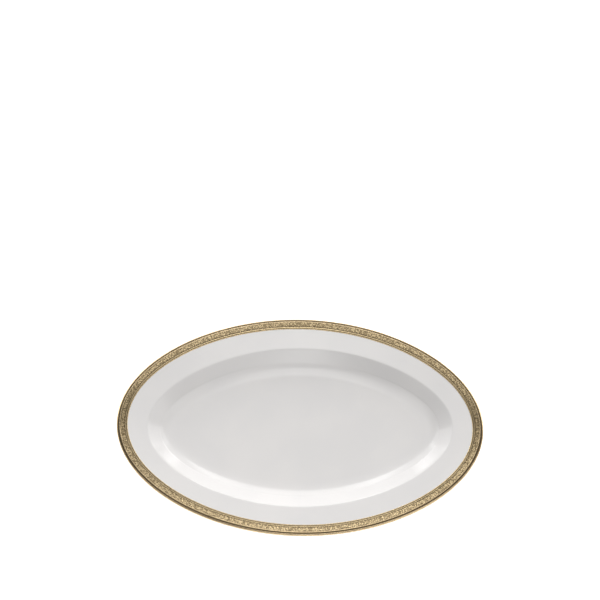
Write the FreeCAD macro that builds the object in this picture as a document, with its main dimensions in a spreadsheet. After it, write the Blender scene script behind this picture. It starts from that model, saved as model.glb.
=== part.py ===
import FreeCAD, Part
import math
import os
import re

# China serving platter: an oval dish with a broad sloping rim, a shallow well and a foot ring.
#
# Frame: +Z up, Z = 0 on the face the foot ring stands on, origin below the middle of the platter,
# X along the long axis and Y along the short axis. Millimetres.
#
# Every level of the platter is an oval ring. A ring's "inset" is how far it lies inside the
# platter's outermost outline, measured along the two axes. The clay, each coat of glaze and each
# gold line are lofts through such rings, so one change to the outline carries through them all.

doc = FreeCAD.newDocument("serving_platter")

# ---------------------------------------------------------------------------------------------
# Driving sizes: alias, value, meaning
# ---------------------------------------------------------------------------------------------
SIZES = (
    ("overall_length", 360.0, "long axis, over the gilded lip"),
    ("overall_width", 226.0, "short axis, over the gilded lip"),
    ("overall_height", 24.0, "standing face to the top of the gilded lip"),
    ("shoulder_draw", 0.0106, "how far the outline's four shoulders lie inside a true ellipse"),
    ("draw_growth", 0.00026, "extra shoulder draw for each millimetre of inset"),
    ("glaze", 0.3, "thickness of a coat of glaze"),
    ("gilding", 0.25, "thickness of the gold"),
    ("lip_run", 3.2, "inset of the crest of the rolled lip"),
    ("lip_drop", 2.4, "crest of the lip down to its outermost edge"),
    ("lip_depth", 3.5, "crest of the lip down to its underside"),
    ("lip_under_run", 1.6, "inset at which the underside of the rim begins"),
    ("crest_land", 0.6, "width of the flat on the crest of the lip"),
    ("gold_tuck", 0.7, "how far the gold runs below the outermost edge of the lip"),
    ("rim_width", 30.4, "inset of the corner where the rim turns down into the well"),
    ("marly_angle", 8.5, "slope of the rim, degrees"),
    ("well_edge_radius", 5.0, "rounding where the rim turns down into the well"),
    ("verge_angle", 30.0, "slope of the well's side, degrees"),
    ("verge_radius", 30.0, "hollow curve from the well's side to its floor"),
    ("floor_height", 8.5, "floor of the well above the standing face"),
    ("wall", 4.6, "thickness of the platter, measured upright"),
    ("foot_setback", 2.4, "foot ring outside the corner of the well's side and floor"),
    ("foot_width", 4.8, "width of the foot ring"),
    ("foot_bevel", 0.6, "bevel on each side of the standing edge"),
    ("foot_taper", 0.8, "slope of the foot ring's inner wall"),
    ("glaze_line", 0.8, "bare clay below the glaze on the foot ring"),
    ("band_gap", 0.1, "lip gold to the etched band"),
    ("band_width", 4.6, "etched gold band"),
    ("line_gap", 0.1, "etched band to the plain inner line"),
    ("line_width", 0.8, "plain inner gold line"),
    ("edge_gap", 0.5, "plain inner line to the beaded edging"),
    ("edge_width", 0.9, "beaded gold edging"),
)

RING_POINTS = 48        # points that one oval's curve passes through
ARC_RINGS = 5           # rings in each hollow or rounded stretch of a profile

sheet = doc.addObject("Spreadsheet::Sheet", "Sizes")
for row, (alias, value, meaning) in enumerate(SIZES, start=1):
    sheet.set(f"A{row}", meaning)
    sheet.set(f"B{row}", str(value))
    sheet.setAlias(f"B{row}", alias)
doc.recompute()

ALIASES = re.compile(r"\b(" + "|".join(alias for alias, _, _ in SIZES) + r")\b")


def bound(text):
    """The expression with every alias pointed at the sheet, for an object outside the sheet."""
    return ALIASES.sub(r"Sizes.\1", text)


# ---------------------------------------------------------------------------------------------
# Levels and insets that follow from the driving sizes
# ---------------------------------------------------------------------------------------------
CREST_INNER = "(lip_run + crest_land)"
CREST_JOINT = "(lip_run + crest_land / 2)"
CREST_HEIGHT = "(overall_height - gilding)"
EDGE_HEIGHT = f"({CREST_HEIGHT} - lip_drop)"
WELL_EDGE_HEIGHT = f"({CREST_HEIGHT} - (rim_width - {CREST_INNER}) * tan(marly_angle))"
VERGE_CORNER = f"(rim_width + ({WELL_EDGE_HEIGHT} - floor_height) / tan(verge_angle))"
FOOT_OUTER = f"({VERGE_CORNER} - foot_setback)"
FOOT_INNER = f"({FOOT_OUTER} + foot_width)"
FOOT_TOP_HEIGHT = f"({WELL_EDGE_HEIGHT} - wall - ({FOOT_OUTER} - rim_width) * tan(verge_angle))"
BASE_HEIGHT = "(floor_height - wall)"


def marly_height(inset):
    """Height of the glazed rim at an inset."""
    return f"({CREST_HEIGHT} - ({inset} - {CREST_INNER}) * tan(marly_angle))"


# A station is one ring of a glazed profile: its inset, its height, and the direction (inset,
# height) that leads from the glazed surface into the clay there.
INTO_FACE = (0, -1)
INTO_BACK = (0, 1)
INTO_EDGE = (1, 0)
INTO_RECESS = (-1, 0)


def station(inset, height, into):
    """One ring of a profile."""
    return (inset, height, into)


def arc_stations(corner, height, slope_from, slope_to, radius):
    """Rings of an arc that rounds a corner between two slopes, in order towards the middle.

    Going inwards by the arc's sines lowers the ring by the arc's cosines, from the point where
    the arc leaves the first slope: the corner less the tangent length.
    """
    tangent = f"({radius} * tan(abs(({slope_to}) - ({slope_from})) / 2))"
    rings = []
    for step in range(ARC_RINGS):
        slope = f"({slope_from} + (({slope_to}) - ({slope_from})) * {step / (ARC_RINGS - 1)})"
        run = f"{radius} * abs(sin({slope}) - sin({slope_from}))"
        fall = f"{radius} * abs(cos({slope}) - cos({slope_from}))"
        rings.append(station(
            f"({corner} - {tangent} * cos({slope_from}) + {run})",
            f"({height} + {tangent} * sin({slope_from}) - {fall})",
            INTO_FACE,
        ))
    return rings


WELL_EDGE = arc_stations(
    "rim_width", WELL_EDGE_HEIGHT, "marly_angle", "verge_angle", "well_edge_radius")
VERGE_CURVE = arc_stations(
    VERGE_CORNER, "floor_height", "verge_angle", "0", "verge_radius")
MARLY = [station(CREST_INNER, CREST_HEIGHT, INTO_FACE), WELL_EDGE[0]]
VERGE = [WELL_EDGE[-1], VERGE_CURVE[0]]

# The face is lofted in four stretches, from the lip's crest down to the floor: name, rings, and
# whether the stretch is straight from ring to ring.
FACE = (
    ("rim", MARLY, True),
    ("well_edge", WELL_EDGE, False),
    ("well_side", VERGE, True),
    ("well_curve", VERGE_CURVE, False),
)


def lip_roll(angle):
    """A ring of the rolled lip, an ellipse's quarter from the edge (0) to the crest (90)."""
    return station(
        f"(gilding + (lip_run - gilding) * (1 - cos({angle})))",
        f"({CREST_HEIGHT} - lip_drop * (1 - sin({angle})))",
        (math.cos(math.radians(angle)), -math.sin(math.radians(angle))),
    )


LIP = [lip_roll(angle) for angle in (0, 30, 60, 90)]
GOLD_END = station("(gilding + 0.3 * gold_tuck)", f"({EDGE_HEIGHT} - gold_tuck)", INTO_EDGE)
BACK = [
    station(FOOT_OUTER, "glaze_line", INTO_EDGE),
    station(FOOT_OUTER, FOOT_TOP_HEIGHT, (1, 1)),
    station("rim_width", f"({WELL_EDGE_HEIGHT} - wall)", INTO_BACK),
    station("lip_under_run", f"({CREST_HEIGHT} - lip_depth)", INTO_BACK),
    GOLD_END,
    *LIP,
]
STANDING_OUTER = station(f"({FOOT_OUTER} + foot_bevel)", "0", INTO_EDGE)
STANDING_INNER = station(f"({FOOT_INNER} - foot_bevel)", "0", INTO_RECESS)
RECESS = [
    station(FOOT_INNER, "glaze_line", INTO_RECESS),
    station(f"({FOOT_INNER} + foot_taper)", BASE_HEIGHT, (-1, 1)),
]


# ---------------------------------------------------------------------------------------------
# Rings and lofts
# ---------------------------------------------------------------------------------------------
def oval_points(inset):
    """Points of the oval at an inset.

    P(t) = (A cos t, B sin t) less the inset along (cos t, sin t), with the shoulders drawn in by
    draw * sin(2t)^2 of (A cos t, B sin t), where A and B are half the overall length and width
    and draw grows with the inset. P is linear in the inset, so a straight loft between two
    rings passes through every ring between them.
    """
    half_length = sheet.overall_length / 2
    half_width = sheet.overall_width / 2
    draw = sheet.shoulder_draw + sheet.draw_growth * inset
    points = []
    for number in range(RING_POINTS):
        angle = 2 * math.pi * number / RING_POINTS
        shoulder = draw * math.sin(2 * angle) ** 2
        points.append(FreeCAD.Vector(
            (half_length * (1 - shoulder) - inset) * math.cos(angle),
            (half_width * (1 - shoulder) - inset) * math.sin(angle),
            0,
        ))
    return points


def oval_curve(inset):
    """Closed smooth curve through the oval's points, evenly spaced in its parameter."""
    curve = Part.BSplineCurve()
    parameters = [number / RING_POINTS for number in range(RING_POINTS + 1)]
    curve.interpolate(Points=oval_points(inset), PeriodicFlag=True, Parameters=parameters)
    return curve


def ring_sketch(body, name, ring, coat):
    """Sketch of one ring on the body's XY plane, raised to the ring's height.

    coat is how far below the glazed surface the ring lies: 0 on it, "glaze" on the clay and
    "-gilding" on the gold.
    """
    inset, height, (into_inset, into_height) = ring
    plane = next(plane for plane in body.Origin.OriginFeatures if plane.Role == "XY_Plane")
    sketch = body.newObject("Sketcher::SketchObject", name)
    sketch.AttachmentSupport = [(plane, "")]
    sketch.MapMode = "FlatFace"
    sketch.setExpression(
        ".AttachmentOffset.Base.z", bound(f"{height} + {into_height} * ({coat})"))
    curve_inset = sheet.evalExpression(f"{inset} + {into_inset} * ({coat})")
    sketch.addGeometry(oval_curve(float(curve_inset)), False)
    return sketch


def add_loft(body, kind, name, rings, coat, straight=True):
    """Loft through a list of rings, added to the body or taken away from it."""
    sketches = [
        ring_sketch(body, f"{name}_ring_{number}", ring, coat)
        for number, ring in enumerate(rings, start=1)
    ]
    doc.recompute()
    feature = body.newObject(f"PartDesign::{kind}", name)
    feature.Profile = sketches[0]
    feature.Sections = sketches[1:]
    feature.Ruled = straight
    doc.recompute()
    return feature


def add_face(body, kind, name, coat):
    """The four stretches of the face, from the lip's crest down to the floor."""
    for stretch, rings, straight in FACE:
        add_loft(body, kind, f"{name}_{stretch}", rings, coat, straight)


def new_body(label):
    """A sub-part's body."""
    body = doc.addObject("PartDesign::Body", f"body_{label}")
    body.Label = label
    body.Placement = FreeCAD.Placement()
    return body


# ---------------------------------------------------------------------------------------------
# Fired clay: lip, rim, well and foot ring in one piece, bare on the standing edge
# ---------------------------------------------------------------------------------------------
def make_porcelain_body():
    body = new_body("porcelain_body")
    add_loft(body, "AdditiveLoft", "outside", [STANDING_OUTER, *BACK], "glaze")
    add_face(body, "SubtractiveLoft", "face", "glaze")
    add_loft(body, "SubtractiveLoft", "recess", [STANDING_INNER, *RECESS], "glaze")
    return body


# ---------------------------------------------------------------------------------------------
# Glaze: the face, the back down to the foot ring, and the recess inside the foot ring
# ---------------------------------------------------------------------------------------------
def make_face_glaze():
    body = new_body("face_glaze")
    crest = [
        station(CREST_JOINT, CREST_HEIGHT, (0, 0)),
        station(CREST_JOINT, CREST_HEIGHT, INTO_FACE),
    ]
    add_loft(body, "AdditiveLoft", "crest", crest, "glaze")
    add_face(body, "AdditiveLoft", "clay_side", "glaze")
    add_face(body, "SubtractiveLoft", "open_side", "0")
    return body


def make_back_glaze():
    body = new_body("back_glaze")
    mouth = [
        station(CREST_JOINT, CREST_HEIGHT, INTO_FACE),
        station(CREST_JOINT, CREST_HEIGHT, (0, 0)),
    ]
    add_loft(body, "AdditiveLoft", "outer_side", BACK, "0")
    add_loft(body, "SubtractiveLoft", "clay_side", BACK, "glaze")
    add_loft(body, "SubtractiveLoft", "mouth", mouth, "glaze")
    return body


def make_base_glaze():
    body = new_body("base_glaze")
    add_loft(body, "AdditiveLoft", "clay_side", RECESS, "glaze")
    add_loft(body, "SubtractiveLoft", "open_side", RECESS, "0")
    return body


# ---------------------------------------------------------------------------------------------
# Gold: the lip's roll, then three rings in order towards the well
# ---------------------------------------------------------------------------------------------
def make_lip_gilding():
    body = new_body("lip_gilding")
    mouth = [
        station(CREST_INNER, CREST_HEIGHT, (0, 0)),
        station(CREST_INNER, CREST_HEIGHT, INTO_FACE),
    ]
    add_loft(body, "AdditiveLoft", "gold_side", [GOLD_END, *LIP], "-gilding")
    add_loft(body, "SubtractiveLoft", "glaze_side", [GOLD_END, *LIP], "0")
    add_loft(body, "SubtractiveLoft", "mouth", mouth, "-gilding")
    return body


def make_gold_ring(label, start, end):
    """Flat gold ring on the glazed rim, from one inset to another.

    The solid starts as the rim's bowl from the ring's outer wall inwards, and is hollowed from
    above by its own top surface and its inner wall.
    """
    body = new_body(label)
    overrun = f"({end} + gilding)"
    shoulder = f"({start} + gilding / 2)"
    bowl = [
        station(start, f"({marly_height(start)} + gilding)", (0, 0)),
        station(start, marly_height(start), (0, 0)),
        station(overrun, marly_height(overrun), (0, 0)),
    ]
    hollow = [
        station(shoulder, f"({marly_height(start)} + gilding)", (0, 0)),
        station(end, f"({marly_height(end)} + gilding)", (0, 0)),
        station(end, f"({marly_height(overrun)} - gilding)", (0, 0)),
    ]
    add_loft(body, "AdditiveLoft", "bowl", bowl, "0")
    add_loft(body, "SubtractiveLoft", "hollow", hollow, "0")
    return body


def make_gold_rings():
    """The etched band, the plain inner line and the beaded edging, each a gap inside the last."""
    rings = []
    reached = CREST_INNER
    for label, gap, width in (
        ("etched_gold_band", "band_gap", "band_width"),
        ("inner_gold_line", "line_gap", "line_width"),
        ("beaded_gold_edging", "edge_gap", "edge_width"),
    ):
        start = f"({reached} + {gap})"
        reached = f"({start} + {width})"
        rings.append(make_gold_ring(label, start, reached))
    return rings


sub_parts = [
    make_porcelain_body(),
    make_face_glaze(),
    make_back_glaze(),
    make_base_glaze(),
    make_lip_gilding(),
    *make_gold_rings(),
]
doc.recompute()

# ---------------------------------------------------------------------------------------------
# Check every object, then write one STEP file for each sub-part
# ---------------------------------------------------------------------------------------------
for item in doc.Objects:
    if "Invalid" in item.State or "Error" in item.State:
        raise RuntimeError(f"{item.Label} failed: {item.State}")
for body in sub_parts:
    if body.Shape.isNull() or not body.Shape.isValid() or len(body.Shape.Solids) != 1:
        raise RuntimeError(f"{body.Label} is not one valid solid")

os.makedirs("parts", exist_ok=True)
for body in sub_parts:
    body.Shape.exportStep(os.path.join("parts", f"{body.Label}.step"))
    size = body.Shape.BoundBox
    print(
        f"{body.Label}: {size.XLength:.2f} x {size.YLength:.2f} x {size.ZLength:.2f} mm, "
        f"{body.Shape.Volume:.1f} mm3, {len(body.Shape.Faces)} faces"
    )
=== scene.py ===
"""An oval china serving platter with a gilded, etched border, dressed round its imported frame.

Every visible skin is one section line carried round the platter's oval. The section is a list of
stations (inset from the outline, height), and a ring of the oval is worked out at each station.
"""
import logging
import math
from dataclasses import dataclass, field
from enum import Enum
from typing import Any

import bpy
import numpy as np
from mathutils import Matrix, Vector


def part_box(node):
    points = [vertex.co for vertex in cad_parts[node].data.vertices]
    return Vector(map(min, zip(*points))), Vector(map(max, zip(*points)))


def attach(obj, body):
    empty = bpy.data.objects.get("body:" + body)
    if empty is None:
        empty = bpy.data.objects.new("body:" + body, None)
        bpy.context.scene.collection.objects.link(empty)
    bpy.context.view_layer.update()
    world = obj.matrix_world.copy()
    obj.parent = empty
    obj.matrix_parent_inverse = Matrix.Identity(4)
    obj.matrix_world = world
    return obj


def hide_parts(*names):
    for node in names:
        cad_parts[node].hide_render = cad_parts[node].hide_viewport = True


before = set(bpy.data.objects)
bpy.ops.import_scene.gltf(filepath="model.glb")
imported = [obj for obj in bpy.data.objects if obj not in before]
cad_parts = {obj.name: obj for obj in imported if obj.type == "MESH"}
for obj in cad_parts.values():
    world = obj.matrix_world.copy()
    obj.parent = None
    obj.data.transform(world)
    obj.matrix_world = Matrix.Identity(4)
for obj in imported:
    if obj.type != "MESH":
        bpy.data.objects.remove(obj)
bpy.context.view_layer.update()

LOG = logging.getLogger("platter")
MM = 0.001
TAU = 2 * math.pi
RELIEF = "relief"
Array = np.ndarray
Colour = tuple[float, float, float]


class Slot(Enum):
    """The record's material slots."""

    CLAY = "bisque_porcelain"
    GLAZE = "clear_glaze"
    GOLD = "burnished_gold"
    ETCHED = "etched_gold"


# ----- Shader graphs -----
class Graph:
    """Adds nodes to one node tree and joins them."""

    def __init__(self, tree: bpy.types.NodeTree) -> None:
        """Start from an empty tree."""
        self.tree = tree
        tree.nodes.clear()

    def feed(self, node: bpy.types.Node, inputs: dict[str | int, Any]) -> None:
        """Set or join a node's inputs.

        Args:
            node: the node.
            inputs: socket name or number to a plain value or to the output that feeds it.
        """
        for key, value in inputs.items():
            socket = node.inputs[key]
            if isinstance(value, bpy.types.NodeSocket):
                self.tree.links.new(value, socket)
            elif socket.type == "RGBA":
                socket.default_value = (*value, 1.0)
            else:
                socket.default_value = value

    def add(self, kind: str, inputs: dict[str | int, Any] | None = None,
            **settings: Any) -> bpy.types.Node:
        """Add a node.

        Args:
            kind: the node's type name, without the ShaderNode prefix.
            inputs: what feed() takes.
            **settings: the node's own properties.

        Returns:
            The new node.
        """
        node = self.tree.nodes.new(f"ShaderNode{kind}")
        for key, value in settings.items():
            setattr(node, key, value)
        self.feed(node, inputs or {})
        return node

    def place(self) -> Any:
        """Return the object's own coordinates, in metres."""
        return self.add("TexCoord").outputs["Object"]

    def math(self, operation: str, first: Any, second: Any = 0.0, third: Any = 0.0) -> Any:
        """Join numbers with a Math node and return its output."""
        inputs = {0: first, 1: second, 2: third}
        return self.add("Math", inputs, operation=operation).outputs[0]

    def noise(self, vector: Any, scale: Any, detail: float = 2.0, roughness: float = 0.5,
              distortion: float = 0.0) -> Any:
        """Return a noise that varies from 0 to 1 with this many features in each metre."""
        return self.add("TexNoise", {
            "Vector": vector, "Scale": scale, "Detail": detail, "Roughness": roughness,
            "Distortion": distortion}).outputs["Fac"]

    def step(self, value: Any, low: float, high: float, to_low: float = 0.0,
             to_high: float = 1.0) -> Any:
        """Return a smooth ramp from to_low to to_high while the value goes from low to high."""
        inputs = {0: value, 1: low, 2: high, 3: to_low, 4: to_high}
        return self.add("MapRange", inputs, interpolation_type="SMOOTHSTEP").outputs[0]

    def blend(self, factor: Any, first: Any, second: Any) -> Any:
        """Mix two colours and return the result."""
        return self.add("Mix", {0: factor, 6: first, 7: second}, data_type="RGBA").outputs[2]

    def bump(self, height: Any, distance: float, **below: Any) -> Any:
        """Return the normal of a height this many metres deep, over Normal if it is given."""
        inputs = {"Height": height, "Distance": distance, **below}
        return self.add("Bump", inputs).outputs[0]


class Effect:
    """A surface effect that several finishes share, held in one shader node group."""

    def __init__(self, name: str, inputs: dict[str, float], outputs: tuple[str, ...]) -> None:
        """Make the group with its sockets.

        Args:
            name: the group's name.
            inputs: names and defaults of its number inputs, after its Vector.
            outputs: names of its number outputs.
        """
        self.tree = bpy.data.node_groups.new(name, "ShaderNodeTree")
        self.graph = Graph(self.tree)
        sockets = self.tree.interface
        sockets.new_socket("Vector", in_out="INPUT", socket_type="NodeSocketVector")
        for label, value in inputs.items():
            made = sockets.new_socket(label, in_out="INPUT", socket_type="NodeSocketFloat")
            made.default_value = value
        for label in outputs:
            sockets.new_socket(label, in_out="OUTPUT", socket_type="NodeSocketFloat")
        self.given = self.tree.nodes.new("NodeGroupInput").outputs
        self.result = self.tree.nodes.new("NodeGroupOutput").inputs

    def noise(self, size: str, share: float = 1.0, **shape: float) -> Any:
        """Return a noise on the group's vector.

        Args:
            size: the input that says how many features each metre has.
            share: what to multiply that by.
            **shape: the noise's other values.

        Returns:
            The noise's output.
        """
        scale = self.given[size]
        if share != 1.0:
            scale = self.graph.math("MULTIPLY", scale, share)
        return self.graph.noise(self.given["Vector"], scale, **shape)

    def give(self, label: str, value: bpy.types.NodeSocket) -> None:
        """Send a value to one of the group's outputs."""
        self.tree.links.new(value, self.result[label])

    def put(self, graph: Graph, vector: Any, **values: float) -> Any:
        """Use the effect in a material.

        Args:
            graph: the material's graph.
            vector: the coordinates it reads.
            **values: its number inputs, by name.

        Returns:
            The placed node's outputs.
        """
        node = graph.add("Group", node_tree=self.tree)
        graph.feed(node, {"Vector": vector, **values})
        return node.outputs


def glaze_flow_effect() -> Effect:
    """Make long soft waves that a glaze keeps from its melt, with fine dimples over them.

    Returns:
        The effect, with Height and Pool.
    """
    effect = Effect("glaze_flow", {"Wave": 26.0, "Dimple": 420.0}, ("Height", "Pool"))
    wave = effect.noise("Wave", roughness=0.45)
    dimple = effect.noise("Dimple", detail=1.0)
    effect.give("Height", effect.graph.math("MULTIPLY_ADD", dimple, 0.02, wave))
    effect.give("Pool", effect.graph.step(wave, 0.3, 0.7))
    return effect


def speck_effect() -> Effect:
    """Make rare small round specks, such as iron in clay or grit under a glaze.

    Returns:
        The effect, with Mask.
    """
    effect = Effect("specks", {"Spacing": 90.0, "Size": 0.07}, ("Mask",))
    graph, given = effect.graph, effect.given
    cells = graph.add("TexVoronoi", {"Vector": given["Vector"], "Scale": given["Spacing"]})
    near = graph.math("SUBTRACT", 1.0, graph.math(
        "DIVIDE", cells.outputs["Distance"], given["Size"]))
    chance = graph.add("SeparateColor", {0: cells.outputs["Color"]}).outputs[0]
    rare = graph.step(chance, 0.90, 0.92)
    effect.give("Mask", graph.math("MULTIPLY", graph.step(near, 0.0, 0.6), rare))
    return effect


def handling_effect() -> Effect:
    """Make faint wiping and cutlery marks, as threads in many directions, and a haze.

    Returns:
        The effect, with Threads and Haze.
    """
    effect = Effect("handling", {"Thread": 55.0, "Haze": 9.0}, ("Threads", "Haze"))
    graph = effect.graph
    warp = effect.noise("Thread", detail=5.0, distortion=1.4)
    ridge = graph.math("ABSOLUTE", graph.math("SUBTRACT", warp, 0.5))
    effect.give("Threads", graph.step(ridge, 0.006, 0.0))
    effect.give("Haze", graph.step(effect.noise("Haze", detail=4.0), 0.42, 0.72))
    return effect


def grain_effect() -> Effect:
    """Make fine fired grain, or the stipple that acid leaves in a metal's ground.

    Returns:
        The effect, with Height and Mottle.
    """
    effect = Effect("grain", {"Grain": 2600.0}, ("Height", "Mottle"))
    fine = effect.noise("Grain", detail=3.0, roughness=0.6)
    coarse = effect.noise("Grain", share=0.08, detail=3.0)
    effect.give("Height", effect.graph.math("MULTIPLY_ADD", coarse, 0.4, fine))
    effect.give("Mottle", effect.graph.step(coarse, 0.35, 0.65))
    return effect


def chasing_effect() -> Effect:
    """Make small dimples left by a chasing tool, browner in some of the hollows.

    Returns:
        The effect, with Height and Tarnish.
    """
    effect = Effect("chasing", {"Spacing": 800.0}, ("Height", "Tarnish"))
    effect.give("Height", effect.noise("Spacing", detail=1.0, roughness=0.4))
    patch = effect.noise("Spacing", share=0.8, detail=1.0)
    effect.give("Tarnish", effect.graph.step(patch, 0.54, 0.42))
    return effect


@dataclass(frozen=True)
class Effects:
    """The shared effects, built once."""

    flow: Effect = field(default_factory=glaze_flow_effect)
    specks: Effect = field(default_factory=speck_effect)
    handling: Effect = field(default_factory=handling_effect)
    grain: Effect = field(default_factory=grain_effect)
    chasing: Effect = field(default_factory=chasing_effect)


def new_material(name: str, preview: Colour) -> tuple[bpy.types.Material, Graph, Any]:
    """Make a node material with its shader and output.

    Args:
        name: the material's name.
        preview: colour for a plain viewport.

    Returns:
        The material, its graph and its Principled shader.
    """
    material = bpy.data.materials.new(name)
    material.use_nodes = True
    material.diffuse_color = (*preview, 1.0)
    graph = Graph(material.node_tree)
    shader = graph.add("BsdfPrincipled")
    graph.add("OutputMaterial", {"Surface": shader.outputs[0]})
    return material, graph, shader


# ----- Finishes -----
@dataclass(frozen=True)
class GlazedPorcelain:
    """White porcelain under a clear, slightly flowing glaze."""

    name: str = "glazed_porcelain"
    white: Colour = (0.74, 0.728, 0.720)
    shade: Colour = (0.715, 0.706, 0.702)
    speck: Colour = (0.36, 0.31, 0.26)
    speck_strength: float = 0.5
    gloss: float = 0.07
    haze_dulling: float = 0.025
    thread_dulling: float = 0.03
    refraction: float = 1.5
    flow_height: float = 0.004 * MM

    def build(self, effects: Effects) -> bpy.types.Material:
        """Return the material.

        Args:
            effects: the shared effects.

        Returns:
            A glossy dielectric whose colour pools faintly and whose gloss is a little uneven.
        """
        material, graph, shader = new_material(self.name, self.white)
        place = graph.place()
        flow = effects.flow.put(graph, place, Wave=24.0, Dimple=380.0)
        specks = effects.specks.put(graph, place, Spacing=70.0, Size=0.028)
        marks = effects.handling.put(graph, place, Thread=38.0, Haze=8.0)
        body = graph.blend(flow["Pool"], self.white, self.shade)
        speckled = graph.math("MULTIPLY", specks["Mask"], self.speck_strength)
        dulled = graph.math("MULTIPLY_ADD", marks["Haze"], self.haze_dulling, self.gloss)
        graph.feed(shader, {
            "Base Color": graph.blend(speckled, body, self.speck),
            "Roughness": graph.math(
                "MULTIPLY_ADD", marks["Threads"], self.thread_dulling, dulled),
            "Normal": graph.bump(flow["Height"], self.flow_height),
            "IOR": self.refraction,
        })
        return material


@dataclass(frozen=True)
class BareClay:
    """Fired clay without glaze, with grain, specks and a scuffed standing edge."""

    name: str = "bare_clay"
    clay: Colour = (0.66, 0.625, 0.575)
    mottle: Colour = (0.58, 0.545, 0.495)
    scuff: Colour = (0.33, 0.315, 0.295)
    speck: Colour = (0.20, 0.14, 0.09)
    scuff_height: float = 0.25 * MM
    scuff_patches: float = 60.0
    scuffing: float = 0.55
    grain_height: float = 0.05 * MM
    roughness: float = 0.86
    refraction: float = 1.45

    def build(self, effects: Effects) -> bpy.types.Material:
        """Return the material.

        Args:
            effects: the shared effects.

        Returns:
            A matte ceramic that greys where it has slid on tables.
        """
        material, graph, shader = new_material(self.name, self.clay)
        place = graph.place()
        grain = effects.grain.put(graph, place, Grain=2200.0)
        specks = effects.specks.put(graph, place, Spacing=420.0, Size=0.11)
        body = graph.blend(grain["Mottle"], self.clay, self.mottle)
        tinted = graph.blend(specks["Mask"], body, self.speck)
        height = graph.add("SeparateXYZ", {0: place}).outputs["Z"]
        low = graph.step(height, self.scuff_height, 0.0)
        patch = graph.step(graph.noise(place, self.scuff_patches, detail=4.0), 0.45, 0.62)
        worn = graph.math("MULTIPLY", graph.math("MULTIPLY", low, patch), self.scuffing)
        graph.feed(shader, {
            "Base Color": graph.blend(worn, tinted, self.scuff),
            "Roughness": self.roughness,
            "Normal": graph.bump(grain["Height"], self.grain_height),
            "IOR": self.refraction,
        })
        return material


@dataclass(frozen=True)
class Gold:
    """Fired gold: burnished where it stands high, stippled where it lies low, and darkened there
    with painted shade.

    A beaded edging stands high all over, and the other rings read their own relief, which is
    wholly low at sunk_below and wholly high at high_above.
    """

    name: str = "burnished_gold"
    bright: Colour = (0.62, 0.493, 0.297)
    # low: the colour of random tarnish patches, and of painted shade where the relief lies low.
    low: Colour = (0.17, 0.124, 0.066)
    polish: float = 0.20
    ground: float = 0.42
    haze_dulling: float = 0.07
    thread_dulling: float = 0.08
    tarnish: float = 0.22
    chasing: float = 0.006 * MM
    grain_share: float = 0.12
    engraving: float = 0.0
    line_pitch: float = 0.4 * MM
    relief: bool = False
    sunk_below: float = 0.18
    high_above: float = 0.62

    def build(self, effects: Effects) -> bpy.types.Material:
        """Return the material.

        Args:
            effects: the shared effects.

        Returns:
            A metal with hazed polish, hand-chased dimples and, in its hollows, a rough ground
            darkened with painted shade.
        """
        material, graph, shader = new_material(self.name, self.bright)
        place = graph.place()
        marks = effects.handling.put(graph, place, Thread=120.0, Haze=32.0)
        chase = effects.chasing.put(graph, place, Spacing=820.0)
        grain = effects.grain.put(graph, place, Grain=3400.0)
        tarnish_and_painted_shade = graph.math("MULTIPLY", chase["Tarnish"], self.tarnish)
        rough = graph.math("MULTIPLY_ADD", marks["Haze"], self.haze_dulling, self.polish)
        rough = graph.math("MULTIPLY_ADD", marks["Threads"], self.thread_dulling, rough)
        if self.relief:
            relief = graph.add("Attribute", attribute_name=RELIEF).outputs["Fac"]
            # Painted shade: where the relief is low the colour goes to the dark low colour, as
            # well as to a rougher ground.
            sunk = graph.step(relief, self.high_above, self.sunk_below)
            tarnish_and_painted_shade = graph.math("MAXIMUM", tarnish_and_painted_shade, sunk)
            rough = graph.math("MULTIPLY_ADD", sunk, self.ground - self.polish, rough)
        height = graph.math("MULTIPLY_ADD", grain["Height"], self.grain_share, chase["Height"])
        normal = graph.bump(height, self.chasing)
        if self.engraving:
            across = graph.add("SeparateXYZ", {0: graph.add("UVMap").outputs[0]}).outputs["Y"]
            lines = graph.math("SINE", graph.math("MULTIPLY", across, TAU / self.line_pitch))
            normal = graph.bump(lines, self.engraving, Normal=normal)
        graph.feed(shader, {
            "Base Color": graph.blend(tarnish_and_painted_shade, self.bright, self.low),
            "Metallic": 1.0,
            "Roughness": rough,
            "Normal": normal,
        })
        return material


@dataclass(frozen=True)
class PaleFloor:
    """Seamless matte paper that the platter stands on."""

    name: str = "pale_floor"
    paper: Colour = (0.93, 0.93, 0.93)
    light: Colour = (1.0, 1.0, 1.0)
    lift: float = 0.5

    def build(self) -> bpy.types.Material:
        """Return the material.

        Returns:
            A matte white, lifted a little towards the light.
        """
        material, graph, shader = new_material(self.name, self.paper)
        graph.feed(shader, {
            "Base Color": self.paper, "Roughness": 1.0, "Specular IOR Level": 0.0,
            "Emission Color": self.light, "Emission Strength": self.lift})
        return material


# ----- Section lines and the oval -----
def line(start: Array, end: Array, spacing: float) -> Array:
    """Return stations on a straight side.

    Args:
        start: the first station.
        end: the side's end, which is left out.
        spacing: how far apart they are, about.

    Returns:
        Evenly spaced stations.
    """
    count = max(1, round(np.linalg.norm(end - start) / spacing))
    share = np.linspace(0.0, 1.0, count, endpoint=False)[:, None]
    return start + (end - start) * share


def smooth(part: Array) -> Array:
    """Return the smooth step 3 p^2 - 2 p^3 of a part that is held between 0 and 1."""
    part = np.clip(part, 0.0, 1.0)
    return part * part * (3 - 2 * part)


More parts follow.
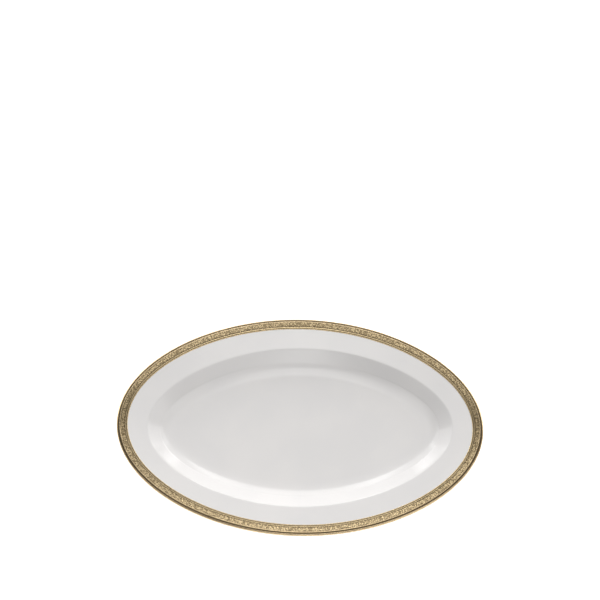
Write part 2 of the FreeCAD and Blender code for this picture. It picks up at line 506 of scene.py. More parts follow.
def rounded_path(corners: list[tuple[float, float, float]], spacing: float,
                 arc_step: float = 0.12) -> Array:
    """Return a run of stations through corners that are rounded by arcs.

    At a corner with inside angle A and radius R the arc leaves each side at R / tan(A / 2) from
    the corner, and its stations turn evenly about the arc's centre on the angle's bisector.

    Args:
        corners: (inset, height, radius) of each corner, from end to end.
        spacing: the greatest distance between stations on a straight side.
        arc_step: the turn between stations on an arc, in radians.

    Returns:
        Stations as rows of (inset, height).
    """
    points = np.array([corner[:2] for corner in corners])
    parts, last = [], points[0]
    for number in range(1, len(corners) - 1):
        here, radius = points[number], corners[number][2]
        back = (points[number - 1] - here) / np.linalg.norm(points[number - 1] - here)
        ahead = (points[number + 1] - here) / np.linalg.norm(points[number + 1] - here)
        half = math.acos(float(np.clip(back @ ahead, -1.0, 1.0))) / 2
        reach = radius / math.tan(half)
        first, final = here + back * reach, here + ahead * reach
        centre = here + (back + ahead) / np.linalg.norm(back + ahead) * radius / math.sin(half)
        turn = math.pi - 2 * half
        share = np.linspace(0.0, 1.0, max(3, round(turn / arc_step)), endpoint=False)[:, None]
        swept = ((first - centre) * np.sin((1 - share) * turn)
                 + (final - centre) * np.sin(share * turn)) / math.sin(turn)
        parts += [line(last, first, spacing), centre + swept]
        last = final
    return np.concatenate([*parts, line(last, points[-1], spacing), points[-1:]])


def shifted(path: Array, distance: float | Array) -> Array:
    """Return a section line moved sideways, to the left of its direction of travel.

    The left normal of a step (inset, height) is (-height, inset) over its length.

    Args:
        path: the line's stations.
        distance: how far, for the whole line or for each station.

    Returns:
        The moved stations.
    """
    step = np.gradient(path, axis=0)
    step /= np.linalg.norm(step, axis=1)[:, None]
    moved = path.copy()
    moved[:, 0] -= step[:, 1] * distance
    moved[:, 1] += step[:, 0] * distance
    return moved


@dataclass(frozen=True)
class Oval:
    """The platter's outline, and the rings inside it.

    P(t) = (A cos t, B sin t) (1 - draw sin(2t)^2) - inset (cos t, sin t), with A and B half the
    length and width, and draw growing with the inset. The well has turned a little against the
    rim in the kiln, so a ring of the face also turns about Z, fully from the well's edge inwards
    and not at all under the gold border.
    """

    half_length: float
    half_width: float
    shoulder_draw: float = 0.0098
    draw_growth: float = 0.27
    kiln_turn: float = math.radians(1.35)
    turn_from: float = 11.0 * MM
    turn_to: float = 29.4 * MM
    measuring_steps: int = 8192

    def rings(self, angles: Array, inset: Array, height: Array,
              share: Array | float = 1.0, face: bool = False) -> Array:
        """Carry stations round the oval.

        Args:
            angles: the parameter t at each column.
            inset: inset of each row, or of each row and column.
            height: height of each row, or of each row and column.
            share: how much of the ring's size is kept, from 1 at the ring to 0 in the middle.
            face: whether the rings are part of the face, which the kiln has turned.

        Returns:
            Points in rows, columns and X, Y, Z.
        """
        inset, height, share = (np.reshape(v, (-1, 1)) if np.ndim(v) < 2 else v
                                for v in (inset, height, share))
        draw = (self.shoulder_draw + self.draw_growth * inset) * np.sin(2 * angles) ** 2
        x = (self.half_length * (1 - draw) - inset) * np.cos(angles) * share
        y = (self.half_width * (1 - draw) - inset) * np.sin(angles) * share
        if face:
            part = (inset - self.turn_from) / (self.turn_to - self.turn_from)
            turn = self.kiln_turn * smooth(part)
            x, y = x * np.cos(turn) - y * np.sin(turn), x * np.sin(turn) + y * np.cos(turn)
        return np.stack([x, y, np.broadcast_to(height, x.shape)], axis=-1)

    def run(self, inset: float) -> tuple[Array, Array]:
        """Measure along a ring.

        Args:
            inset: the ring.

        Returns:
            Fine parameters round it, and the distance run at each of them.
        """
        angles = np.linspace(0.0, TAU, self.measuring_steps + 1)
        ring = self.rings(angles, np.array([inset]), np.array([0.0]))[0]
        steps = np.linalg.norm(np.diff(ring, axis=0), axis=1)
        return angles, np.concatenate([[0.0], np.cumsum(steps)])

    def girth(self, inset: float) -> float:
        """Return a ring's length."""
        return float(self.run(inset)[1][-1])

    def even_angles(self, count: int, inset: float = 0.0) -> Array:
        """Return parameters that divide a ring into this many even columns."""
        angles, run = self.run(inset)
        return np.interp(np.linspace(0.0, run[-1], count, endpoint=False), run, angles)


@dataclass(frozen=True)
class Section:
    """The glazed section of the platter, from which every skin takes its place.

    The face runs from the crest of the lip to the floor and the back from the crest to the foot.
    """

    top: float
    glaze: float = 0.3 * MM
    gilding: float = 0.25 * MM
    lip_run: float = 3.2 * MM
    lip_drop: float = 2.4 * MM
    lip_under: float = 3.26 * MM
    tuck_radius: float = 0.8 * MM
    rim_width: float = 30.4 * MM
    rim_slope: float = math.radians(8.5)
    back_radius: float = 14.0 * MM
    well_edge_radius: float = 5.0 * MM
    verge_slope: float = math.radians(30.0)
    verge_radius: float = 30.0 * MM
    floor_height: float = 8.5 * MM
    floor_run: float = 12.0 * MM
    crease_inset: float = 42.6 * MM
    crease_run: float = 1.0 * MM
    crease_drop: float = 0.08 * MM
    wall: float = 4.6 * MM
    foot_setback: float = 2.4 * MM
    foot_width: float = 4.8 * MM
    foot_root_radius: float = 2.2 * MM
    foot_bevel: float = 0.6 * MM
    bevel_radius: float = 0.45 * MM
    foot_taper: float = 0.8 * MM
    recess_radius: float = 1.4 * MM
    glaze_line: float = 0.8 * MM

    @property
    def crest(self) -> float:
        """Height of the glazed crest of the lip."""
        return self.top - self.gilding

    @property
    def lip_radius(self) -> float:
        """Half width of the glazed lip's ellipse."""
        return self.lip_run - self.gilding

    def lip_arc(self, first: float, last: float, count: int) -> Array:
        """Return stations of the rolled lip, an upright ellipse.

        Inset = run - radius cos(a) and height = crest - drop (1 - sin(a)), with a in radians
        from the outermost edge (0) over the crest (a quarter turn) to the face.

        Args:
            first: a at the first station.
            last: a at the last station.
            count: how many stations.

        Returns:
            Stations as rows of (inset, height).
        """
        a = np.linspace(first, last, count)
        return np.stack([self.lip_run - self.lip_radius * np.cos(a),
                         self.crest - self.lip_drop * (1 - np.sin(a))], axis=1)

    @property
    def lip_end(self) -> float:
        """Angle on the lip where it has turned down to the rim's slope."""
        return math.pi / 2 + math.atan(math.tan(self.rim_slope) * self.lip_radius / self.lip_drop)

    @property
    def rim_start(self) -> Array:
        """Where the lip runs into the straight rim."""
        return self.lip_arc(self.lip_end, self.lip_end, 1)[0]

    @property
    def well_corner(self) -> Array:
        """Where the rim's slope and the well's side would meet."""
        run = self.rim_width - self.rim_start[0]
        return self.rim_start + np.array([run, -run * math.tan(self.rim_slope)])

    @property
    def floor_corner(self) -> Array:
        """Where the well's side and its floor would meet."""
        drop = self.well_corner[1] - self.floor_height
        return self.well_corner + np.array([drop / math.tan(self.verge_slope), -drop])

    def face(self) -> Array:
        """Return the face from the crest of the lip to the edge of the flat floor.

        A faint step rings the foot of the well's straight side: from one run before its middle
        to one run after, the height falls by a further drop along a smooth step.

        Returns:
            Stations as rows of (inset, height).
        """
        lip = self.lip_arc(math.pi / 2, self.lip_end, 4)
        rest = rounded_path([
            (*self.rim_start, 0.0),
            (*self.well_corner, self.well_edge_radius),
            (*self.floor_corner, self.verge_radius),
            (self.floor_corner[0] + self.floor_run, self.floor_corner[1], 0.0),
        ], spacing=1.8 * MM)
        path = np.concatenate([lip[:-1], rest])
        fine = self.crease_inset + np.linspace(-1.0, 1.0, 9) * self.crease_run
        inset = np.unique(np.concatenate([path[:, 0], fine]))
        height = np.interp(inset, path[:, 0], path[:, 1])
        part = (inset - self.crease_inset) / self.crease_run / 2 + 0.5
        height -= self.crease_drop * smooth(part)
        return np.column_stack([inset, height])

    def back(self) -> Array:
        """Return the back from the crest of the lip down to the glaze line on the foot.

        Returns:
            Stations as rows of (inset, height).
        """
        corner = self.well_corner - np.array([0.0, self.wall])
        foot = self.floor_corner[0] - self.foot_setback
        foot_top = corner[1] - (foot - corner[0]) * math.tan(self.verge_slope)
        rest = rounded_path([
            (self.gilding, self.crest - self.lip_drop, 0.0),
            (self.gilding, self.crest - self.lip_under, self.tuck_radius),
            (*corner, self.back_radius),
            (foot, foot_top, self.foot_root_radius),
            (foot, self.glaze_line, 0.0),
        ], spacing=2.2 * MM)
        return np.concatenate([self.lip_arc(math.pi / 2, 0.0, 14)[:-1], rest])

    def recess(self) -> Array:
        """Return the glazed recess from the foot's inner glaze line in under the base.

        Returns:
            Stations as rows of (inset, height).
        """
        inner = self.floor_corner[0] - self.foot_setback + self.foot_width
        base = self.floor_height - self.wall
        return rounded_path([
            (inner, self.glaze_line, 0.0),
            (inner + self.foot_taper, base, self.recess_radius),
            (inner + self.floor_run, base, 0.0),
        ], spacing=2.0 * MM)

    def standing(self) -> Array:
        """Return the bare foot between the two glaze lines, from outside to inside.

        Returns:
            Stations as rows of (inset, height).
        """
        outer = self.floor_corner[0] - self.foot_setback + self.glaze
        inner = outer + self.foot_width - 2 * self.glaze
        return rounded_path([
            (outer, self.glaze_line, 0.0),
            (outer + self.foot_bevel, 0.0, self.bevel_radius),
            (inner - self.foot_bevel, 0.0, self.bevel_radius),
            (inner, self.glaze_line, 0.0),
        ], spacing=0.6 * MM)


# ----- Meshes -----
@dataclass
class Skin:
    """A closed grid of points: columns run round the oval, rows run round the section.

    A skin with poles closes on a point in the middle at both ends of its section. Any other
    joins its last row to its first.
    """

    name: str
    points: Array
    slot: Slot
    poles: bool = False
    relief: Array | None = None
    around: float = 1.0

    def faces(self) -> tuple[Array, Array, Array]:
        """Join the points into faces.

        Quads join (row, column) to its neighbours, with the last column joined to the first. A
        pole is a fan of triangles to the mean of its row.

        Returns:
            Corner indices, face sizes and each corner's (column, row) in the grid.
        """
        rows, columns = self.points.shape[:2]
        row, column = (grid.ravel() for grid in np.meshgrid(
            np.arange(rows - self.poles), np.arange(columns), indexing="ij"))
        grid_rows = np.stack([row, row, row + 1, row + 1], axis=1)
        grid_columns = np.stack([column, column + 1, column + 1, column], axis=1)
        corners = [((grid_rows % rows) * columns + grid_columns % columns).ravel()]
        places = [np.stack([grid_columns, grid_rows], axis=-1).reshape(-1, 2)]
        sizes = [np.full(len(row), 4)]
        step = np.arange(columns)
        fan = np.stack([step, step + 1, step], axis=1)
        for pole, (end_row, order) in enumerate(((0, 1), (rows - 1, -1)) if self.poles else ()):
            ring = end_row * columns + fan % columns
            ring[:, 0] = rows * columns + pole
            corners.append(ring[:, ::order].ravel())
            fan_places = np.stack([fan, np.full_like(fan, end_row)], axis=-1)
            places.append(fan_places[:, ::order].reshape(-1, 2))
            sizes.append(np.full(columns, 3))
        return tuple(np.concatenate(parts) for parts in (corners, sizes, places))

    def vertices(self) -> Array:
        """Return every point, with the poles last."""
        middles = self.points[[0, -1]].mean(axis=1) if self.poles else np.empty((0, 3))
        return np.concatenate([self.points.reshape(-1, 3), middles])

    def outward(self, vertices: Array, corners: Array, sizes: Array) -> bool:
        """Tell whether the faces point out, from the sign of the volume they enclose.

        Args:
            vertices: the points.
            corners: the corners' point numbers.
            sizes: how many corners each face has.

        Returns:
            Whether that volume is positive.
        """
        starts = np.cumsum(sizes) - sizes
        volume = 0.0
        for faces, numbers in ((starts, (0, 1, 2)), (starts[sizes == 4], (0, 2, 3))):
            a, b, c = (vertices[corners[faces + n]] for n in numbers)
            volume += np.einsum("ij,ij->", a, np.cross(b, c))
        return bool(volume > 0)

    def build(self, material: bpy.types.Material) -> bpy.types.Object:
        """Make the object and hang it on the platter's body.

        Args:
            material: the finish of the whole skin.

        Returns:
            The object, at the origin, with its place in its mesh.
        """
        vertices = self.vertices()
        corners, sizes, places = self.faces()
        ends = np.cumsum(sizes)
        if not self.outward(vertices, corners, sizes):
            turned = np.repeat(ends - sizes, sizes) + np.repeat(ends, sizes) - 1
            order = turned - np.arange(len(corners))
            corners, places = corners[order], places[order]
        mesh = bpy.data.meshes.new(self.name)
        mesh.vertices.add(len(vertices))
        mesh.vertices.foreach_set("co", vertices.astype(np.float32).ravel())
        mesh.loops.add(len(corners))
        mesh.loops.foreach_set("vertex_index", corners.astype(np.int32))
        mesh.polygons.add(len(sizes))
        mesh.polygons.foreach_set("loop_start", (ends - sizes).astype(np.int32))
        mesh.update(calc_edges=True)
        mesh.validate()
        self.write_maps(mesh, places)
        mesh.shade_smooth()
        mesh.materials.append(material)
        piece = bpy.data.objects.new(self.name, mesh)
        bpy.context.scene.collection.objects.link(piece)
        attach(piece, "root")
        return piece

    def write_maps(self, mesh: bpy.types.Mesh, places: Array) -> None:
        """Write the UV map, in metres round and across the skin, and the relief if it has one.

        Args:
            mesh: the finished mesh.
            places: (column, row) of each face corner.
        """
        steps = np.linalg.norm(np.diff(self.points[:, 0], axis=0), axis=1)
        across = np.concatenate([[0.0], np.cumsum(steps), [np.sum(steps)]])
        round_it = places[:, 0] / self.points.shape[1] * self.around
        uv = np.stack([round_it, across[places[:, 1]]], axis=1)
        layer = mesh.uv_layers.new(name="UVMap")
        layer.data.foreach_set("uv", uv.astype(np.float32).ravel())
        if self.relief is not None:
            made = mesh.attributes.new(RELIEF, "FLOAT", "POINT")
            made.data.foreach_set("value", self.relief.astype(np.float32).ravel())


def report(piece: bpy.types.Object) -> None:
    """Log a finished piece with its size in millimetres and its triangle count.

    Args:
        piece: the piece.
    """
    size = " x ".join(f"{value / MM:.2f}" for value in piece.dimensions)
    triangles = sum(len(face.vertices) - 2 for face in piece.data.polygons)
    LOG.info("%s: %s mm, %d triangles", piece.name, size, triangles)


def dress(skins: tuple[tuple[Skin, bpy.types.Material, str], ...]) -> None:
    """Build skins in their finishes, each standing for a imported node.

    Args:
        skins: each skin with its finish and the node's name.
    """
    for skin, finish, node in skins:
        piece = skin.build(finish)
        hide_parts(node)
        report(piece)


# ----- Clay and glaze -----
@dataclass
class China:
    """The fired clay and its three coats of glaze."""

    oval: Oval
    section: Section
    columns: int = 600
    floor_rows: int = 9
    floor_crowding: float = 0.9

    def towards_middle(self, path: Array, reverse: bool = False) -> Array:
        """Add a flat floor to a section line, as shares of its last ring.

        Args:
            path: stations (inset, height) that end on the floor.
            reverse: whether to return the line from the middle outwards.

        Returns:
            Stations (inset, height, share).
        """
        kept = np.column_stack([path, np.ones(len(path))])
        shares = np.linspace(1.0, 0.0, self.floor_rows + 1)[1:-1] ** self.floor_crowding
        floor = np.column_stack([np.repeat(path[-1:], len(shares), axis=0), shares])
        line_out = np.concatenate([kept, floor])
        return line_out[::-1] if reverse else line_out

    def carried(self, stations: Array, face: bool = False) -> Array:
        """Carry stations (inset, height and share if there is one) round the oval."""
        angles = np.linspace(0.0, TAU, self.columns, endpoint=False)
        return self.oval.rings(angles, *stations.T, face=face)

    def face_glaze(self) -> Skin:
        """Return the coat on the face.

        Returns:
            Its open side, and its clay side below.
        """
        open_side = self.section.face()
        clay_side = shifted(open_side, -self.section.glaze)
        top = self.carried(self.towards_middle(open_side, reverse=True), face=True)
        under = self.carried(self.towards_middle(clay_side), face=True)
        return Skin("face_glaze_coat", np.concatenate([top, under]), Slot.GLAZE, poles=True)

    def back_glaze(self) -> Skin:
        """Return the coat on the back.

        Returns:
            A closed loop from the crest of the lip to the foot's glaze line and back inside.
        """
        open_side = self.section.back()
        clay_side = shifted(open_side, self.section.glaze)
        clay_side[-1, 1] = open_side[-1, 1]
        loop = np.concatenate([open_side, clay_side[::-1]])
        return Skin("back_glaze_coat", self.carried(loop), Slot.GLAZE)

    def base_glaze(self) -> Skin:
        """Return the coat in the recess under the base.

        Returns:
            Its open side below, and its clay side.
        """
        open_side = self.section.recess()
        clay_side = shifted(open_side, self.section.glaze)
        clay_side[0, 1] = open_side[0, 1]
        under = self.carried(self.towards_middle(open_side, reverse=True))
        over = self.carried(self.towards_middle(clay_side))
        return Skin("base_glaze_coat", np.concatenate([under, over]), Slot.GLAZE, poles=True)

    def clay(self) -> Skin:
        """Return the fired clay inside the coats.

        Returns:
            The face, the back with the bare foot ring, and the recess.
        """
        depth = self.section.glaze
        face = shifted(self.section.face(), -depth)
        back = shifted(self.section.back(), depth)
        back[-1, 1] = self.section.glaze_line
        recess = shifted(self.section.recess(), depth)
        top = self.carried(self.towards_middle(face, reverse=True), face=True)
        outside = self.carried(np.concatenate([back[1:], self.section.standing()[1:-1]]))
        under = self.carried(self.towards_middle(recess))
        return Skin("fired_clay_body", np.concatenate([top, outside, under]), Slot.CLAY,
                    poles=True)

    def build(self, effects: Effects) -> None:
        """Make the clay and its coats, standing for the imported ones.

        Args:
            effects: the shared effects.
        """
        glaze = GlazedPorcelain().build(effects)
        clay = BareClay().build(effects)
        dress((
            (self.clay(), clay, "porcelain_body"),
            (self.face_glaze(), glaze, "face_glaze"),
            (self.back_glaze(), glaze, "back_glaze"),
            (self.base_glaze(), glaze, "base_glaze"),
        ))


# ----- Gold -----
@dataclass(frozen=True)
class ScrollPattern:
    """One unit of a running scroll: a waving stem with a volute and leaves in each hollow.

    Distances are in metres, x along the band and y across it from its middle. The relief at a
    point is a smooth step of its distance to the nearest stroke over that stroke's half width.
    Each leaf is its root's share of the unit, its lean in radians and its length.
    """

    length: float = 9.4 * MM
    swing: float = 0.98 * MM
    stem: float = 0.33 * MM
    volute: float = 1.18 * MM
    volute_offset: float = 0.62 * MM
    volute_closing: float = 0.34
    eye: float = 0.38 * MM
    leaf: float = 0.52 * MM
    leaves: tuple[tuple[float, float, float], ...] = (
        (0.02, 1.45, 1.9 * MM), (0.48, 1.70, 1.9 * MM), (0.25, -1.57, 0.9 * MM))
    band: float = 4.7 * MM
    rail: float = 0.38 * MM
    rail_edge: float = 0.14 * MM

    def stem_strokes(self) -> Array:
        """Return the stem: y = swing sin(2 pi x / length), as rows of (x, y, half width)."""
        x = np.linspace(0.0, self.length, 64, endpoint=False)
        y = self.swing * np.sin(TAU * x / self.length)
        return np.column_stack([x, y, np.full_like(x, self.stem)])

    def volute_strokes(self, side: int) -> Array:
        """Return a spiral in one hollow of the stem.

        Its radius falls evenly from the volute's size to two thirds of it over four fifths of a
        turn, about a centre on the other side of the band from the stem's crest, and a round
        eye stands in its middle.

        Args:
            side: 1 for the hollow below the first crest, -1 for the one above the next trough.

        Returns:
            Rows of (x, y, half width).
        """
        middle_x = self.length * (0.25 if side > 0 else 0.75)
        middle_y = -self.volute_offset * side
        turn = np.linspace(0.0, 1.6 * math.pi, 40)
        radius = self.volute * (1 - self.volute_closing * turn / turn[-1])
        angle = side * (0.95 * math.pi - turn)
        width = np.linspace(0.7, 0.95, len(turn)) * self.stem
        spiral = np.column_stack([middle_x + radius * np.cos(angle),
                                  middle_y + radius * np.sin(angle), width])
        return np.concatenate([spiral, [[middle_x, middle_y, self.eye]]])

    def leaf_strokes(self, side: int) -> Array:
        """Return pointed leaves that fan from the stem towards the band's edge.

        Each leaf is a short line whose half width swells as the sine of the way along it.

        Args:
            side: which hollow the leaves fill.

        Returns:
            Rows of (x, y, half width).
        """
        rows = []
        for share, lean, size in self.leaves:
            x0 = self.length * (share if side > 0 else share + 0.5)
            y0 = self.swing * math.sin(TAU * x0 / self.length)
            along = np.linspace(0.1, 1.0, 12)
            rows.append(np.column_stack([
                x0 + size * along * math.cos(lean),
                y0 - side * size * along * math.sin(lean),
                self.leaf * np.sin(math.pi * np.clip(along, 0.06, 0.94)),
            ]))
        return np.concatenate(rows)

    def relief(self, x: Array, y: Array) -> Array:
        """Return the height, 0 to 1, at every crossing of the x and y lines.

        Args:
            x: places along one unit.
            y: places across the band.

        Returns:
            One row for each y and one column for each x.
        """
        strokes = np.concatenate([self.stem_strokes()] + [
            part(side) for side in (1, -1) for part in (self.volute_strokes, self.leaf_strokes)])
        nearest = np.full((len(y), len(x)), np.inf)
        for wrap in (-self.length, 0.0, self.length):
            dx = x[None, :, None] - strokes[:, 0] - wrap
            dy = y[:, None, None] - strokes[:, 1]
            nearest = np.minimum(nearest, (np.hypot(dx, dy) / strokes[:, 2]).min(axis=2))
        edge = (np.abs(y) - self.band / 2 + self.rail) / self.rail_edge
        return np.maximum(smooth((1.5 - nearest) / 0.9), np.clip(edge, 0.0, 1.0)[:, None])


@dataclass
class GoldBorder:
    """The gilded lip and the three rings of gold inside it."""

    oval: Oval
    section: Section
    band_start: float = 3.8 * MM
    band_width: float = 4.15 * MM
    line_start: float = 7.95 * MM
    line_width: float = 2.2 * MM
    rib_middle: float = 1.05 * MM
    rib_half: float = 0.40 * MM
    rib_height: float = 0.12 * MM
    bead_start: float = 10.15 * MM
    bead_width: float = 0.9 * MM
    bead_pitch: float = 1.25 * MM
    bead_height: float = 0.2 * MM
    film: float = 0.07 * MM
    sunk: float = 0.02 * MM
    relief_height: float = 0.07 * MM
    groove_middle: float = 2.2 * MM
    groove_half: float = 1.15 * MM
    groove_depth: float = 0.12 * MM
    lip_clearance: float = 0.02 * MM
    lip_sunk: float = 0.03 * MM
    lip_tuck: float = 0.35 * MM
    unit_columns: int = 40
    band_rows: int = 21
    line_columns: int = 1200
    line_rows: int = 22
    bead_columns: int = 6
    bead_rows: int = 8
    lip_columns: int = 840
    lip_rows: int = 56

    def raised(self, inset: Array, lift: Array) -> tuple[Array, Array]:
        """Lift points square off the glazed rim.

        Args:
            inset: their insets.
            lift: how far each is lifted.

        Returns:
            Their new insets and their heights.
        """
        start, slope = self.section.rim_start, self.section.rim_slope
        on_rim = start[1] - (inset - start[0]) * math.tan(slope)
        return inset + lift * math.sin(slope), on_rim + lift * math.cos(slope)

    def ring(self, name: str, start: float, width: float, lift: Array, slot: Slot,
             relief: Array | None = None) -> Skin:
        """Build a ring of gold on the rim from the lift of its top surface.

        Args:
            name: the piece's name.
            start: inset of its outer edge.
            width: its width.
            lift: thickness over the glaze, in rows across and columns round.
            slot: the material slot.
            relief: the etched height, 0 to 1, of the top rows.

        Returns:
            The ring, with a flat underside sunk a little in the glaze.
        """
        middle = start + width / 2
        across = np.linspace(start, start + width, len(lift))[:, None]
        across = np.broadcast_to(across, lift.shape)
        top = self.raised(across, lift)
        bottom = self.raised(across[[-1, 0]], np.full_like(lift[:2], -self.sunk))
        inset, height = (np.concatenate(pair) for pair in zip(top, bottom))
        if relief is not None:
            relief = np.concatenate([relief, np.zeros_like(relief[:2])])
        angles = self.oval.even_angles(lift.shape[1], middle)
        return Skin(name, self.oval.rings(angles, inset, height), slot, relief=relief,
                    around=self.oval.girth(middle))

    def etched_band(self) -> Skin:
        """Return the etched band.

        Returns:
            A ring with the scroll repeated a whole number of times round it, its ground between
            the strokes darkened with painted shade.
        """
        around = self.oval.girth(self.band_start + self.band_width / 2)
        pattern = ScrollPattern(band=self.band_width)
        x = np.linspace(0.0, pattern.length, self.unit_columns, endpoint=False)
        y = np.linspace(-0.5, 0.5, self.band_rows) * self.band_width
        # Painted shade: where the relief is low, between the strokes, the ground takes the dark
        # low colour.
        relief = np.tile(pattern.relief(x, y), (1, round(around / pattern.length)))
        lift = self.film + self.relief_height * relief
        return self.ring("etched_band", self.band_start, self.band_width, lift, Slot.ETCHED,
                         relief)

    def plain_line(self) -> Skin:
        """Return the plain line.

        Lift = film + crown sqrt(1 - r^2), where r is the way from the rib's middle over its half
        width, and the grooves keep the film alone.

        Returns:
            A ring with a burnished round rib between two stippled grooves, darkened with painted
            shade.
        """
        across = np.linspace(0.0, self.line_width, self.line_rows)
        away = np.clip(np.abs(across - self.rib_middle) / self.rib_half, 0, 1)
        crown = np.repeat(np.sqrt(1 - away ** 2)[:, None], self.line_columns, axis=1)
        # Painted shade: the grooves' relief is low, so they take the dark low colour.
        return self.ring("plain_gold_line", self.line_start, self.line_width,
                         self.film + self.rib_height * crown, Slot.GOLD, np.clip(crown * 2, 0, 1))

    def beading(self) -> Skin:
        """Return the beaded edging.

        A bead's lift is the height of a ball over its distance r from the bead's middle, where r
        is the hypotenuse of the way along (one pitch is 2) and the way across (the width is 2).

        Returns:
            A thin strip with a round bead at every pitch.
        """
        around = self.oval.girth(self.bead_start + self.bead_width / 2)
        u = (np.arange(self.bead_columns) + 0.5) / self.bead_columns * 2 - 1
        v = np.linspace(-1.0, 1.0, self.bead_rows)[:, None]
        ball = np.sqrt(np.clip(1 - u ** 2 - v ** 2, 0.0, 1.0))
        lift = np.tile(self.film / 2 + self.bead_height * ball,
                       (1, round(around / self.bead_pitch)))
        return self.ring("beaded_edging", self.bead_start, self.bead_width, lift, Slot.GOLD)

    def lip(self) -> Skin:
        """Return the gold over the rolled lip.

        A stippled groove runs round it, darkened with painted shade. Its depth at inset i is the
        groove's depth times the smooth step of 1 - |i - middle| / half width, taken twice as
        steep so that it has a flat bottom.

        Returns:
            A closed loop from the rim over the lip and back under the outermost edge.
        """
        over = self.section.lip_arc(self.section.lip_end, 0.0, self.lip_rows)
        tuck = over[-1:] - np.array([[0.0, self.lip_tuck], [0.0, 2 * self.lip_tuck]])
        path = np.concatenate([over, tuck])
        sunk = smooth(2 * (1 - np.abs(path[:, 0] - self.groove_middle) / self.groove_half))
        thickness = self.section.gilding - self.lip_clearance - self.groove_depth * sunk
        loop = np.concatenate([shifted(path, -thickness), shifted(path, self.lip_sunk)[::-1]])
        # Painted shade: the groove's relief is low, so it takes the lip gold's dark low colour.
        relief = np.concatenate([1 - sunk, np.ones(len(path))])
        points = self.oval.rings(self.oval.even_angles(self.lip_columns), *loop.T)
        return Skin("gilded_lip", points, Slot.GOLD, around=self.oval.girth(0.0),
                    relief=np.repeat(relief[:, None], self.lip_columns, axis=1))

    def build(self, effects: Effects) -> None:
        """Make the gold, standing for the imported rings.

        Args:
            effects: the shared effects.
        """
        plain = Gold().build(effects)
        # The lip gold's low colour is painted shade for the dark line in its groove.
        burnished = Gold(name="burnished_lip_gold", bright=(0.76, 0.60, 0.37),
                         low=(0.10, 0.072, 0.040), relief=True).build(effects)
        # Its low colour is painted shade in the plain line's grooves.
        grooved = Gold(name="grooved_gold", low=(0.12, 0.088, 0.049), relief=True).build(effects)
        # Its low colour is painted shade in the etched ground; its tarnish patches are random.
        etched = Gold(name="etched_gold", chasing=0.05 * MM, tarnish=0.75, ground=0.32,
                      engraving=0.02 * MM, relief=True).build(effects)
        dress((
            (self.lip(), burnished, "lip_gilding"),
            (self.etched_band(), etched, "etched_gold_band"),
            (self.plain_line(), grooved, "inner_gold_line"),
            (self.beading(), plain, "beaded_gold_edging"),
        ))


# ----- Studio -----
@dataclass(frozen=True)
class Light:
    """Part of the studio's dome of light, with its middle in one direction.

    Azimuth 0 is behind the platter as the camera sees it and 90 is on its right, in degrees.
    """

    azimuth: float
    elevation: float
    strength: float

    @property
    def axes(self) -> tuple[Vector, Vector, Vector]:
        """Return its directions.

        Returns:
            The directions to its middle, to its right and to its top.
        """
        a, e = math.radians(self.azimuth), math.radians(self.elevation)
        middle = Vector((math.sin(a) * math.cos(e), math.cos(a) * math.cos(e), math.sin(e)))
        right = Vector((math.cos(a), -math.sin(a), 0.0))
        return middle, right, right.cross(middle)

    def towards(self, graph: Graph, way: Any, axis: Vector) -> Any:
        """Return the cosine between a direction and an axis."""
        node = graph.add("VectorMath", {0: way, 1: tuple(axis)}, operation="DOT_PRODUCT")
        return node.outputs["Value"]


@dataclass(frozen=True)
class Glow(Light):
    """A round soft light: strength exp(focus (cos a - 1)), a being the angle off its middle."""

    focus: float = 40.0

    def add(self, graph: Graph, way: Any, below: Any) -> Any:
        """Return the light from below it in the list plus its own."""
        off = graph.math("MULTIPLY_ADD", self.towards(graph, way, self.axes[0]), self.focus,
                         -self.focus)
        return graph.math("MULTIPLY_ADD", graph.math("EXPONENT", off), self.strength, below)


@dataclass(frozen=True)
class Softbox(Light):
    """A rectangular panel. Its half sizes and edge are over its distance."""

    half_width: float = 0.25
    half_height: float = 0.2
    edge: float = 0.05

    def add(self, graph: Graph, way: Any, below: Any) -> Any:
        """Return the light from below it in the list plus its own.

        Args:
            graph: the dome's graph.
            way: the direction looked in.
            below: the light so far.

        Returns:
            The light with the panel, whose edges fall off along a smooth step.
        """
        depth, right, up = (self.towards(graph, way, axis) for axis in self.axes)
        safe = graph.math("MAXIMUM", depth, 0.001)
        shown = graph.math("GREATER_THAN", depth, 0.0)
        for off, half in ((right, self.half_width), (up, self.half_height)):
            reach = graph.math("ABSOLUTE", graph.math("DIVIDE", off, safe))
            inside = graph.step(reach, half - self.edge, half + self.edge, 1.0, 0.0)
            shown = graph.math("MULTIPLY", shown, inside)
        return graph.math("MULTIPLY_ADD", shown, self.strength, below)


STUDIO_LIGHTS: tuple[Glow | Softbox, ...] = (
    Softbox(-52, 30, 1.82), Softbox(-26, 30, 1.91), Softbox(0, 30, 2.65),
    Softbox(26, 30, 1.15), Softbox(52, 30, 1.67),
    Softbox(-45, 8, 4.55, 0.40, 0.17), Softbox(0, 8, 1.95, 0.40, 0.17),
    Softbox(45, 8, 4.47, 0.40, 0.17),
    Glow(40, 62, 0.54, 60), Glow(-40, 62, 0.32, 60), Glow(60, 74, 0.76, 60),
    Glow(-60, 74, 1.30, 60), Glow(150, 55, 1.31, 40), Glow(140, 12, 1.12, 30),
    Glow(100, 41, 1.30, 40), Glow(115, 62, 1.65, 40), Glow(-115, 62, 2.01, 40),
    Glow(0, 74, 0.44, 60), Glow(0, 86.5, 2.60, 150), Glow(180, 50, 3.32, 60),
    Glow(180, 78, 3.59, 60),
)


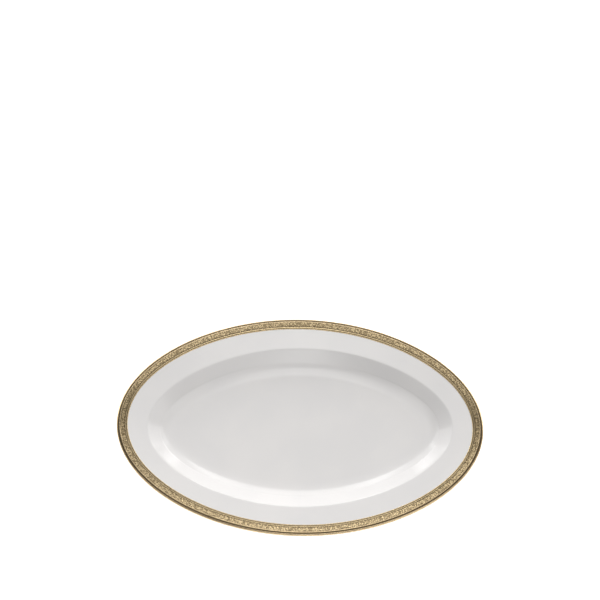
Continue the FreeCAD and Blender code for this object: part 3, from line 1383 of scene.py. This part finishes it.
@dataclass
class Studio:
    """Pale floor, a soft dome of light and the camera."""

    target_height: float
    distance: float = 2.4
    elevation: float = math.radians(69.6)
    azimuth: float = math.radians(1.63)
    tilt_up: float = math.radians(2.949)
    pan_right: float = math.radians(0.002)
    lens: float = 146.67
    sensor: float = 36.0
    far_clip: float = 60.0
    floor_rings: tuple[float, ...] = (0.04, 0.6, 2.0, 6.0)
    floor_spokes: int = 64
    light_colour: Colour = (1.0, 0.992, 0.985)

    def floor(self) -> None:
        """Make the floor as a wide disc of rings round the origin."""
        spokes, radii = self.floor_spokes, np.array(self.floor_rings)[:, None]
        angles = np.linspace(0, TAU, spokes, endpoint=False)
        x, y = radii * np.cos(angles), radii * np.sin(angles)
        points = np.stack([x, y, np.zeros_like(x)], axis=-1).reshape(-1, 3)
        inner = np.arange(spokes * (len(radii) - 1)).reshape(-1, spokes)
        beside = np.roll(inner, -1, axis=1)
        quads = np.stack([inner, inner + spokes, beside + spokes, beside], axis=-1)
        mesh = bpy.data.meshes.new("studio_floor")
        mesh.from_pydata(points.tolist(), [], [range(spokes), *quads.reshape(-1, 4).tolist()])
        mesh.materials.append(PaleFloor().build())
        made = bpy.data.objects.new("studio_floor", mesh)
        bpy.context.scene.collection.objects.link(made)

    def dome(self) -> None:
        """Light the set with every panel and glow of the studio's dome."""
        world = bpy.data.worlds.new("studio_dome")
        bpy.context.scene.world = world
        world.use_nodes = True
        graph = Graph(world.node_tree)
        way = graph.add("TexCoord").outputs["Generated"]
        light = 0.0
        for part in STUDIO_LIGHTS:
            light = part.add(graph, way, light)
        shade = graph.add("Background", {"Color": self.light_colour, "Strength": light})
        graph.add("OutputWorld", {"Surface": shade.outputs[0]})

    def camera(self) -> None:
        """Aim the camera at the platter, then tilt and pan it off the middle."""
        data = bpy.data.cameras.new("camera")
        data.lens = self.lens
        data.sensor_width = self.sensor
        data.clip_end = self.far_clip
        made = bpy.data.objects.new("camera", data)
        bpy.context.scene.collection.objects.link(made)
        away = Vector((math.sin(self.azimuth) * math.cos(self.elevation),
                       -math.cos(self.azimuth) * math.cos(self.elevation),
                       math.sin(self.elevation)))
        aim = (-away).to_track_quat("-Z", "Y").to_matrix()
        off = Matrix.Rotation(-self.pan_right, 3, "Y") @ Matrix.Rotation(self.tilt_up, 3, "X")
        stand = Vector((0, 0, self.target_height)) + away * self.distance
        made.matrix_world = Matrix.Translation(stand) @ (aim @ off).to_4x4()
        bpy.context.scene.camera = made

    def build(self) -> None:
        """Set up the floor, the light and the camera."""
        self.floor()
        self.dome()
        self.camera()
        bpy.context.scene.view_settings.view_transform = "Standard"


def main() -> None:
    """Build the platter and its studio."""
    logging.basicConfig(level=logging.INFO, format="%(name)s %(message)s", force=True)
    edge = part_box("lip_gilding")[1]
    oval = Oval(half_length=edge.x, half_width=edge.y)
    section = Section(top=edge.z)
    effects = Effects()
    China(oval, section).build(effects)
    GoldBorder(oval, section).build(effects)
    Studio(target_height=21 * MM).build()


if __name__ == "__main__":
    main()
